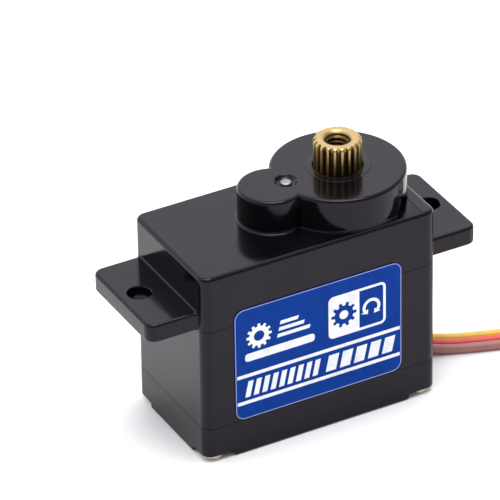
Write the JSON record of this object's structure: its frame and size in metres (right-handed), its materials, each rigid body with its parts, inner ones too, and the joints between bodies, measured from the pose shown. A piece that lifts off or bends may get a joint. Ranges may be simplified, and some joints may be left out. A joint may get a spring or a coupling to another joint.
{
  "type": "hobby servo motor",
  "caption": "Micro hobby servo motor: three-piece plastic case with two mounting ears, metal gear train, splined output shaft and a flat three-wire lead with connector.",
  "frame": {"origin": "middle of the case's underside, halfway between the two ear holes, with the lead left out", "axes": "+Z along the output shaft, +X along the case towards the output shaft and the lead, -Y towards the label"},
  "size_m": [0.0858, 0.0123, 0.024],
  "materials": {
    "case_plastic": "moulded, satin gloss",
    "screw_steel": "plated",
    "label_film": "printed film",
    "gear_brass": "machined",
    "steel": "ground",
    "bush_bronze": "sintered, oiled",
    "bush_polymer": "moulded",
    "ferrite": "matt",
    "copper": "enamelled",
    "carbon": "matt",
    "white_nylon": "moulded",
    "dark_polymer": "moulded",
    "connector_black": "moulded",
    "tinned_metal": "tinned",
    "board_laminate": "solder mask",
    "chip_epoxy": "moulded epoxy",
    "ceramic": "fired",
    "grommet_rubber": "matt",
    "wire_yellow": "extruded",
    "wire_red": "extruded",
    "wire_brown": "extruded"
  },
  "bodies": {
    "case": {"upper_case": "case_plastic", "middle_case": "case_plastic", "bottom_cover": "case_plastic", "case_screw_1": "screw_steel", "case_screw_2": "screw_steel", "case_screw_3": "screw_steel", "case_screw_4": "screw_steel", "label": "label_film", "output_bush": "bush_polymer", "gear_pin": "steel", "motor_can": "steel", "motor_end_cap": "white_nylon", "motor_magnet_1": "ferrite", "motor_magnet_2": "ferrite", "motor_bush": "bush_bronze", "motor_brush_1": "carbon", "motor_brush_2": "carbon", "motor_terminal_1": "tinned_metal", "motor_terminal_2": "tinned_metal", "pot_housing": "dark_polymer", "pot_cover": "steel", "pot_track": "carbon", "pot_terminal_1": "tinned_metal", "pot_terminal_2": "tinned_metal", "pot_terminal_3": "tinned_metal", "circuit_board": "board_laminate", "microcontroller": "chip_epoxy", "motor_driver": "chip_epoxy", "voltage_regulator": "chip_epoxy", "supply_capacitor": "ceramic", "lead_grommet": "grommet_rubber", "lead_signal": "wire_yellow", "lead_power": "wire_red", "lead_ground": "wire_brown", "lead_hank": "wire_red", "lead_tie": "dark_polymer", "lead_signal_tail": "wire_yellow", "lead_power_tail": "wire_red", "lead_ground_tail": "wire_brown", "connector_housing": "connector_black", "connector_contact_1": "tinned_metal", "connector_contact_2": "tinned_metal", "connector_contact_3": "tinned_metal"},
    "output": {"output_gear": "gear_brass", "pot_shaft": "white_nylon", "pot_wiper": "tinned_metal"},
    "third_gear_body": {"third_gear": "gear_brass"},
    "second_gear_body": {"second_gear": "gear_brass"},
    "first_gear_body": {"first_gear": "gear_brass"},
    "rotor": {"motor_shaft": "steel", "motor_pinion": "gear_brass", "armature_core": "steel", "armature_winding_1": "copper", "armature_winding_2": "copper", "armature_winding_3": "copper", "commutator": "copper"}
  },
  "joints": [
    {"name": "output_rotation", "type": "hinge", "parent": "case", "child": "output", "pos_m": [0.00512, 0, 0.01716], "axis": [0, 0, 1], "range_deg": [-90, 90]},
    {"name": "third_gear_spin", "type": "hinge", "parent": "case", "child": "third_gear_body", "pos_m": [0.00012, 0, 0.0156], "axis": [0, 0, 1], "continuous": true},
    {"name": "second_gear_spin", "type": "hinge", "parent": "case", "child": "second_gear_body", "pos_m": [0.00512, 0, 0.0146], "axis": [0, 0, 1], "continuous": true},
    {"name": "first_gear_spin", "type": "hinge", "parent": "case", "child": "first_gear_body", "pos_m": [0.00012, 0, 0.0136], "axis": [0, 0, 1], "continuous": true},
    {"name": "rotor_spin", "type": "hinge", "parent": "case", "child": "rotor", "pos_m": [-0.00478, 0, 0.009], "axis": [0, 0, 1], "continuous": true}
  ],
  "couplings": [
    {"joint": "third_gear_spin", "follows": "output_rotation", "ratio": -3.1667},
    {"joint": "second_gear_spin", "follows": "output_rotation", "ratio": 10.028},
    {"joint": "first_gear_spin", "follows": "output_rotation", "ratio": -31.755},
    {"joint": "rotor_spin", "follows": "output_rotation", "ratio": 141.13}
  ]
}
